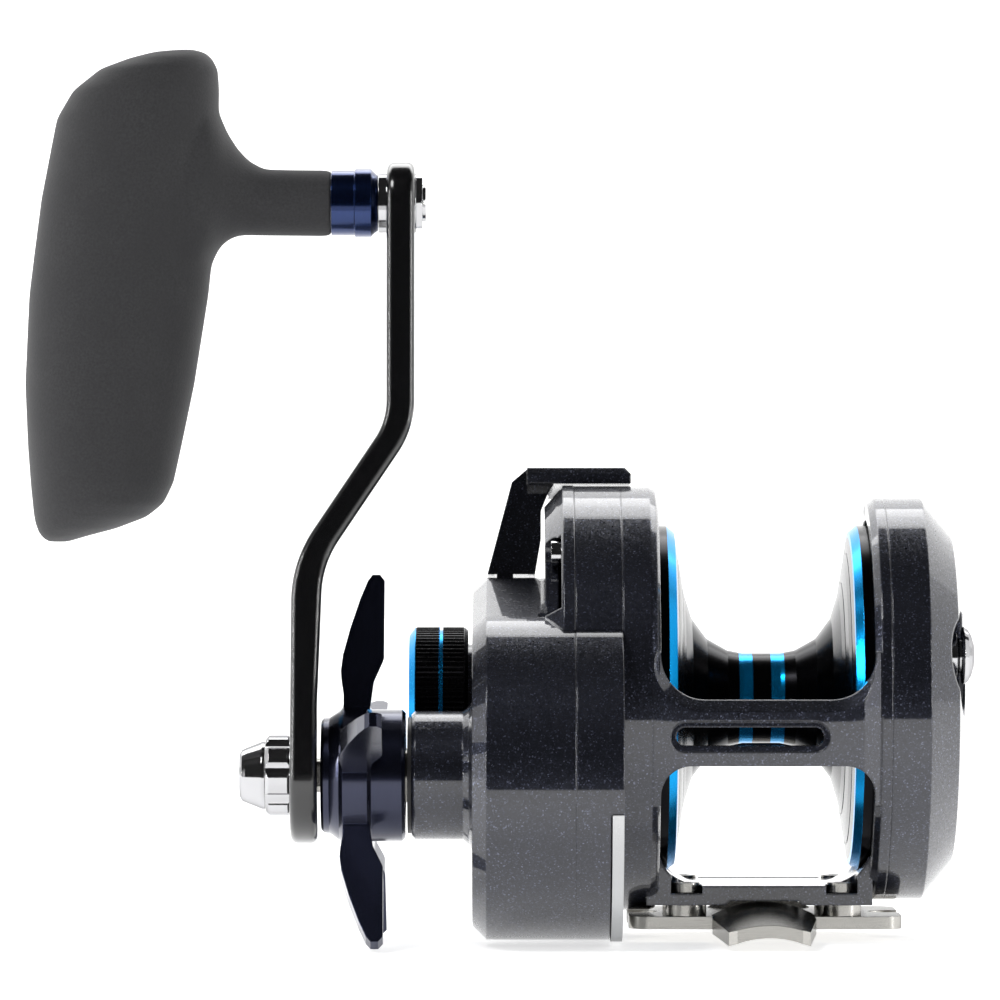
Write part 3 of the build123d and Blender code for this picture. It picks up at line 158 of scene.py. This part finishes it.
def banded(name, bands, body, band, roughness):
    """Black anodised aluminium whose cut bands are dyed bright blue, set by distance along X."""
    m, t, s, place = start(name, Metallic=0.9)
    axis = add(t, "ShaderNodeSeparateXYZ", {"Vector": place}).outputs["X"]
    axis = add(t, "ShaderNodeMath", {0: axis}, operation="ABSOLUTE").outputs[0]
    total = None
    for low, high in bands:
        mid, half = (low + high) / 2 * MM, (high - low) / 2 * MM
        part = add(t, "ShaderNodeMath", {0: axis, 1: mid, 2: half}, operation="COMPARE").outputs[0]
        total = part if total is None else add(
            t, "ShaderNodeMath", {0: total, 1: part}, operation="MAXIMUM").outputs[0]
    ring = add(t, "ShaderNodeTexNoise", {"Vector": place, "Scale": per_mm(0.3), "Detail": 2.0})
    shade = add(t, "ShaderNodeMix", {
        "Factor": ring.outputs["Fac"], 6: linear(body), 7: linear("#16161a"),
    }, data_type="RGBA")
    colour = add(t, "ShaderNodeMix", {
        "Factor": total, 6: shade.outputs[2], 7: linear(band),
    }, data_type="RGBA")
    rough = add(t, "ShaderNodeMapRange", {
        "Value": ring.outputs["Fac"], "To Min": roughness * 0.8, "To Max": roughness * 1.2,
    })
    edge = add(t, "ShaderNodeBevel", {"Radius": 0.15 * MM}, samples=4)
    wire(t, s, Base_Color=colour.outputs[2], Roughness=rough.outputs["Result"],
         Normal=edge.outputs["Normal"])
    return m


def metal(name, code, roughness, grain_mm, stretch, dent=0.02, bevel=0.15):
    """Bare or plated metal: its colour, a fine grain drawn out one way and softened edges."""
    m, t, s, place = start(name, Base_Color=linear(code), Metallic=1.0,
                           Specular_Tint=(0.5, 0.5, 0.5, 1))
    pulled = add(t, "ShaderNodeMapping", {"Vector": place, "Scale": stretch})
    grain = add(t, "ShaderNodeTexNoise", {
        "Vector": pulled.outputs[0], "Scale": per_mm(grain_mm), "Detail": 4.0,
    })
    rough = add(t, "ShaderNodeMapRange", {
        "Value": grain.outputs["Fac"], "To Min": roughness * 0.7, "To Max": roughness * 1.35,
    })
    edge = add(t, "ShaderNodeBevel", {"Radius": bevel * MM}, samples=4)
    bump = add(t, "ShaderNodeBump", {
        "Strength": dent, "Distance": 0.05 * MM, "Height": grain.outputs["Fac"],
        "Normal": edge.outputs["Normal"],
    })
    wire(t, s, Roughness=rough.outputs["Result"], Normal=bump.outputs["Normal"])
    return m


def gloss_black():
    """Forged aluminium arm under thick black gloss enamel: near black, sharp reflections."""
    m, t, s, place = start("gloss_black_enamel", IOR=1.5, Coat_Weight=1.0, Coat_Roughness=0.03)
    peel = add(t, "ShaderNodeTexNoise", {"Vector": place, "Scale": per_mm(1.2), "Detail": 2.0})
    shade = add(t, "ShaderNodeValToRGB", {"Fac": peel.outputs["Fac"]})
    shade.color_ramp.elements[0].color = linear("#070708")
    shade.color_ramp.elements[1].color = linear("#0d0d0f")
    edge = add(t, "ShaderNodeBevel", {"Radius": 0.7 * MM}, samples=6)
    bump = add(t, "ShaderNodeBump", {
        "Strength": 0.015, "Distance": 0.1 * MM, "Height": peel.outputs["Fac"],
        "Normal": edge.outputs["Normal"],
    })
    rough = add(t, "ShaderNodeMapRange", {
        "Value": peel.outputs["Fac"], "To Min": 0.16, "To Max": 0.24,
    })
    wire(t, s, Base_Color=shade.outputs["Color"], Roughness=rough.outputs["Result"],
         Normal=bump.outputs["Normal"], Coat_Normal=edge.outputs["Normal"])
    return m


def eva_foam():
    """Sanded closed-cell EVA foam: matte dark grey, lightly mottled, with open cells as specks."""
    m, t, s, place = start("sanded_eva_foam", IOR=1.45, Sheen_Weight=0.1, Sheen_Roughness=0.6)
    # cells are about 0.15 mm; drawn 0.35 mm across so that they show
    cell = add(t, "ShaderNodeTexNoise", {"Vector": place, "Scale": per_mm(0.35), "Detail": 3.0})
    blotch = add(t, "ShaderNodeTexNoise", {"Vector": place, "Scale": per_mm(7), "Detail": 3.0})
    speck = add(t, "ShaderNodeValToRGB", {"Fac": cell.outputs["Fac"]})
    speck.color_ramp.elements[0].color = linear("#252527")
    speck.color_ramp.elements[0].position = 0.30
    speck.color_ramp.elements[1].color = linear("#373739")
    speck.color_ramp.elements[1].position = 0.72
    shade = add(t, "ShaderNodeMix", {
        "Factor": blotch.outputs["Fac"], 6: speck.outputs["Color"], 7: linear("#2d2d2f"),
    }, data_type="RGBA")
    bump = add(t, "ShaderNodeBump", {
        "Strength": 0.25, "Distance": 0.12 * MM, "Height": cell.outputs["Fac"],
    })
    rough = add(t, "ShaderNodeMapRange", {
        "Value": blotch.outputs["Fac"], "To Min": 0.74, "To Max": 0.9,
    })
    wire(t, s, Base_Color=shade.outputs[2], Roughness=rough.outputs["Result"],
         Normal=bump.outputs["Normal"])
    return m


def dull(name, code, other, pattern_mm, roughness):
    """Moulded plastic or woven friction material: a dull, faintly uneven dark surface."""
    m, t, s, place = start(name, IOR=1.49)
    grain = add(t, "ShaderNodeTexNoise", {
        "Vector": place, "Scale": per_mm(pattern_mm), "Detail": 3.0,
    })
    shade = add(t, "ShaderNodeValToRGB", {"Fac": grain.outputs["Fac"]})
    shade.color_ramp.elements[0].color = linear(code)
    shade.color_ramp.elements[1].color = linear(other)
    rough = add(t, "ShaderNodeMapRange", {
        "Value": grain.outputs["Fac"], "To Min": roughness * 0.85, "To Max": roughness * 1.1,
    })
    bump = add(t, "ShaderNodeBump", {
        "Strength": 0.1, "Distance": 0.05 * MM, "Height": grain.outputs["Fac"],
    })
    wire(t, s, Base_Color=shade.outputs["Color"], Roughness=rough.outputs["Result"],
         Normal=bump.outputs["Normal"])
    return m


bright_blue = "#08a2ec"
lacquer = metallic_lacquer()
spool_finish = banded("black_spool_anodise", [(13.1, 14.4), (1.38, 3.4)],
                      "#0b0b0d", bright_blue, 0.2)
knob_finish = banded("black_knob_anodise", [(52.2, 54.0), (48.1, 48.7)],
                     "#101012", bright_blue, 0.26)
navy = anodised("navy_anodise", "#34384e", "#282b3e", 0.22)
collar_blue = anodised("collar_blue_anodise", "#22376a", "#182a54", 0.18)
chrome = metal("bright_chrome", "#c4c4c6", 0.09, 0.6, (1, 1, 1), 0.01)
stainless = metal("satin_stainless", "#b9b7b2", 0.21, 0.12, (0.05, 1, 1), 0.06)
silver = metal("satin_silver_anodise", "#c9cacb", 0.3, 0.1, (1, 1, 0.05), 0.05)
steel = metal("ground_bearing_steel", "#b5b6b8", 0.18, 0.1, (1, 0.1, 0.1), 0.03)
brass = metal("cut_gear_brass", "#c79a4d", 0.28, 0.15, (0.1, 1, 1), 0.05)
enamel = gloss_black()
foam = eva_foam()
carbon = dull("woven_carbon", "#161617", "#2b2b2d", 0.4, 0.55)
plastic = dull("black_acetal", "#131314", "#1d1d1f", 0.6, 0.45)

finishes = {
    lacquer: ["frame", "inner_shell", "gear_cover", "palm_plate", "clutch_lever"],
    spool_finish: ["spool"],
    knob_finish: ["tension_knob"],
    navy: ["star_wheel"],
    collar_blue: ["grip_collar"],
    chrome: ["handle_nut", "handle_cap", "spindle_nut", "spindle_washers", "clicker_button",
             "cover_screws", "palm_screws"],
    stainless: ["reel_foot", "foot_spacers", "foot_screws", "foot_nuts", "main_shaft",
                "ratchet_wheel", "steel_washers", "spring_washers", "anti_reverse_pawl",
                "pawl_pin", "pinion", "yoke_pins", "cam_ring", "cam_screw", "knob_spindle",
                "grip_screw", "spool_shaft", "dog_pin", "click_wheel", "clicker_tongue",
                "clutch_sleeve"],
    silver: ["backing_plate", "grip_core"],
    steel: ["clutch_shell", "clutch_rollers", "case_bearing_outers", "case_bearing_balls",
            "spool_bearing_inners", "crank_bearing_inners", "grip_bearing_outers",
            "grip_bearing_balls", "grip_bearing_inners", "yoke_springs"],
    brass: ["main_gear", "drag_nut"],
    enamel: ["handle_arm"],
    foam: ["grip"],
    carbon: ["carbon_washers", "tension_disc"],
    plastic: ["boss_seal", "pinion_yoke"],
}
for finish, names in finishes.items():
    for name in names:
        mesh = nodes[name].data
        mesh.materials.clear()
        mesh.materials.append(finish)


# ---- foam grip -----------------------------------------------------------------------------
# the palm bar from its top down: height above the knob axis, outer and inner X, half depth
bar_slices = (
    (22.7, -87.6, -84.6, 2.5), (22.3, -91.2, -83.2, 5.6), (21.4, -94.6, -82.2, 8.2),
    (19.8, -98.9, -81.4, 10.2), (16.6, -102.9, -81.2, 11.5), (12.5, -105.3, -81.3, 12.0),
    (0.6, -107.6, -81.8, 12.0), (-7.9, -108.7, -82.2, 12.0), (-13.6, -109.4, -82.8, 12.0),
    (-26.9, -110.0, -84.9, 12.0), (-36.0, -109.6, -86.8, 12.0), (-41.5, -109.2, -88.0, 11.4),
    (-44.6, -108.9, -89.5, 10.4), (-46.6, -108.7, -92.0, 9.0), (-48.3, -108.3, -96.5, 7.2),
    (-49.6, -107.6, -101.4, 4.8), (-50.3, -106.6, -103.6, 2.2),
)
# the neck from the collar into the bar: X, top, bottom, half depth
neck_slices = (
    (-64.45, 4.7, -4.75, 4.75), (-64.7, 4.9, -4.95, 4.95), (-70.0, 4.95, -4.9, 4.95),
    (-74.5, 5.05, -4.85, 5.0), (-76.8, 6.3, -4.8, 5.5), (-78.4, 8.0, -4.85, 6.2),
    (-79.9, 10.3, -5.5, 7.2), (-81.2, 13.3, -6.7, 8.4), (-82.6, 16.0, -9.6, 9.4),
    (-85.0, 17.5, -15.5, 9.8), (-90.0, 14.0, -12.0, 8.0), (-94.0, 6.0, -5.0, 4.0),
)

weld_voxel = 0.5 * MM
sanding_passes = 14


def hoop(mesh, centre, across, up, half_across, half_up, count=48, square=2.2):
    """A ring of points, a little squarer than an ellipse."""
    ring = []
    for step in range(count):
        turn = 2 * math.pi * step / count
        c, s = math.cos(turn), math.sin(turn)
        a = math.copysign(abs(c) ** (2 / square), c) * half_across
        b = math.copysign(abs(s) ** (2 / square), s) * half_up
        ring.append(mesh.verts.new(centre + across * a + up * b))
    return ring


def skin(mesh, rings):
    """Closed skin over a row of rings."""
    for one, two in zip(rings, rings[1:]):
        for i in range(len(one)):
            j = (i + 1) % len(one)
            mesh.faces.new((one[i], one[j], two[j], two[i]))
    mesh.faces.new(rings[0])
    mesh.faces.new(rings[-1])


def make_grip():
    """Palm grip turned and sanded from one block of foam: bar and neck flow together."""
    mesh = bmesh.new()
    x_axis, y_axis, z_axis = Vector((1, 0, 0)), Vector((0, 1, 0)), Vector((0, 0, 1))
    skin(mesh, [
        hoop(mesh, knob_axis + Vector(((low + high) / 2, 0, z)) * MM, x_axis, y_axis,
             (high - low) / 2 * MM, deep * MM)
        for z, low, high, deep in bar_slices
    ])
    skin(mesh, [
        hoop(mesh, knob_axis + Vector((x, 0, (top + bottom) / 2)) * MM, y_axis, z_axis,
             deep * MM, (top - bottom) / 2 * MM, square=2.0)
        for x, top, bottom, deep in neck_slices
    ])
    bmesh.ops.recalc_face_normals(mesh, faces=mesh.faces)
    data = bpy.data.meshes.new("foam_grip")
    mesh.to_mesh(data)
    mesh.free()
    rough_block = bpy.data.objects.new("foam_grip_block", data)
    bpy.context.scene.collection.objects.link(rough_block)
    weld = rough_block.modifiers.new("weld", "REMESH")
    weld.mode = "VOXEL"
    weld.voxel_size = weld_voxel
    sand = rough_block.modifiers.new("sand", "SMOOTH")
    sand.factor = 0.5
    sand.iterations = sanding_passes
    bpy.context.view_layer.update()
    graph = bpy.context.evaluated_depsgraph_get()
    sanded = bpy.data.meshes.new_from_object(rough_block.evaluated_get(graph))
    bpy.data.objects.remove(rough_block)
    for face in sanded.polygons:
        face.use_smooth = True
    sanded.materials.clear()
    sanded.materials.append(foam)
    piece = bpy.data.objects.new("foam_grip", sanded)
    bpy.context.scene.collection.objects.link(piece)
    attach(piece, "grip")
    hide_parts("grip")


make_grip()


# ---- studio --------------------------------------------------------------------------------
def ribbon_sheet(name, profile, half_width, material):
    """Sheet drawn out along X over a profile of (Y, Z) points; part of the studio."""
    mesh = bmesh.new()
    rows = [[mesh.verts.new((x, y, z)) for y, z in profile] for x in (-half_width, half_width)]
    for i in range(len(profile) - 1):
        mesh.faces.new((rows[0][i], rows[1][i], rows[1][i + 1], rows[0][i + 1]))
    data = bpy.data.meshes.new(name)
    mesh.to_mesh(data)
    mesh.free()
    for face in data.polygons:
        face.use_smooth = True
    data.materials.append(material)
    sheet = bpy.data.objects.new(name, data)
    bpy.context.scene.collection.objects.link(sheet)
    return sheet


def paper_sweep():
    """Pale floor that curves up into a wall behind the reel."""
    low = cad_low.z - 0.5 * MM
    front, bend_start, bend_radius, wall_top, bend_steps = -0.22, 0.9, 0.35, 1.6, 8
    profile = [(front, low), (bend_start, low)]
    for step in range(1, bend_steps + 1):
        turn = math.radians(90 * step / bend_steps)
        profile.append((bend_start + bend_radius * math.sin(turn),
                        low + bend_radius * (1 - math.cos(turn))))
    profile.append((bend_start + bend_radius, wall_top))
    paper = start("white_paper", Base_Color=linear("#f4f4f4"), Roughness=0.9,
                  Emission_Color=(1, 1, 1, 1), Emission_Strength=0.62)[0]
    ribbon_sheet("studio_floor", profile, 1.8, paper)


def black_flag():
    """Black cloth arched over the front of the set, which keeps the middle of gloss dark."""
    reach, lowest, sweep, steps = 1.5, -10, 127, 16
    profile = []
    for step in range(steps + 1):
        turn = math.radians(lowest + sweep * step / steps)
        profile.append((-reach * math.cos(turn), spool_axis.z + reach * math.sin(turn)))
    cloth = start("black_cloth", Base_Color=linear("#0c0c0d"), Roughness=1.0)[0]
    ribbon_sheet("black_flag", profile, 1.9, cloth).visible_camera = False


def softbox(name, azimuth, elevation, distance, width, height, power):
    """Rectangular soft light that faces the reel."""
    data = bpy.data.lights.new(name, "AREA")
    data.shape = "RECTANGLE"
    data.size, data.size_y, data.energy = width, height, power
    lamp = bpy.data.objects.new(name, data)
    turn, rise = math.radians(azimuth), math.radians(elevation)
    away = Vector((math.sin(turn) * math.cos(rise), -math.cos(turn) * math.cos(rise),
                   math.sin(rise)))
    lamp.location = middle + away * distance
    lamp.rotation_euler = (-away).to_track_quat("-Z", "Y").to_euler()
    bpy.context.scene.collection.objects.link(lamp)
    return lamp


middle = (cad_low + cad_high) / 2
paper_sweep()
black_flag()
# name, azimuth and elevation in degrees, distance, width and height in metres, watts
softbox("fill_front", 4, 25, 1.25, 0.34, 0.24, 2.5).visible_glossy = False
softbox("softbox_left", -42, 50, 1.3, 0.4, 0.4, 7.0)
softbox("softbox_top", 180, 52, 1.1, 1.7, 0.5, 6.5)
softbox("strip_left", -78, 4, 1.3, 0.05, 0.9, 6.0).visible_diffuse = False
softbox("strip_right", 66, 4, 1.3, 0.05, 0.9, 5.0).visible_diffuse = False
world = bpy.data.worlds.new("studio_air")
bpy.context.scene.world = world
world.use_nodes = True
world.node_tree.nodes["Background"].inputs["Color"].default_value = (1, 1, 1, 1)
world.node_tree.nodes["Background"].inputs["Strength"].default_value = 1.0

camera = bpy.data.objects.new("camera", bpy.data.cameras.new("camera"))
bpy.context.scene.collection.objects.link(camera)
camera_x, camera_rise, camera_away, view_width = -39.5, 30.0, 1000.0, 151.5
camera.location = (camera_x * MM, -camera_away * MM, spool_axis.z + camera_rise * MM)
camera.rotation_euler = (math.radians(90), 0, 0)
camera.data.sensor_width = 36.0
camera.data.lens = camera.data.sensor_width * camera_away / view_width
camera.data.clip_start = 0.05
bpy.context.scene.camera = camera
bpy.context.scene.view_settings.view_transform = "Standard"
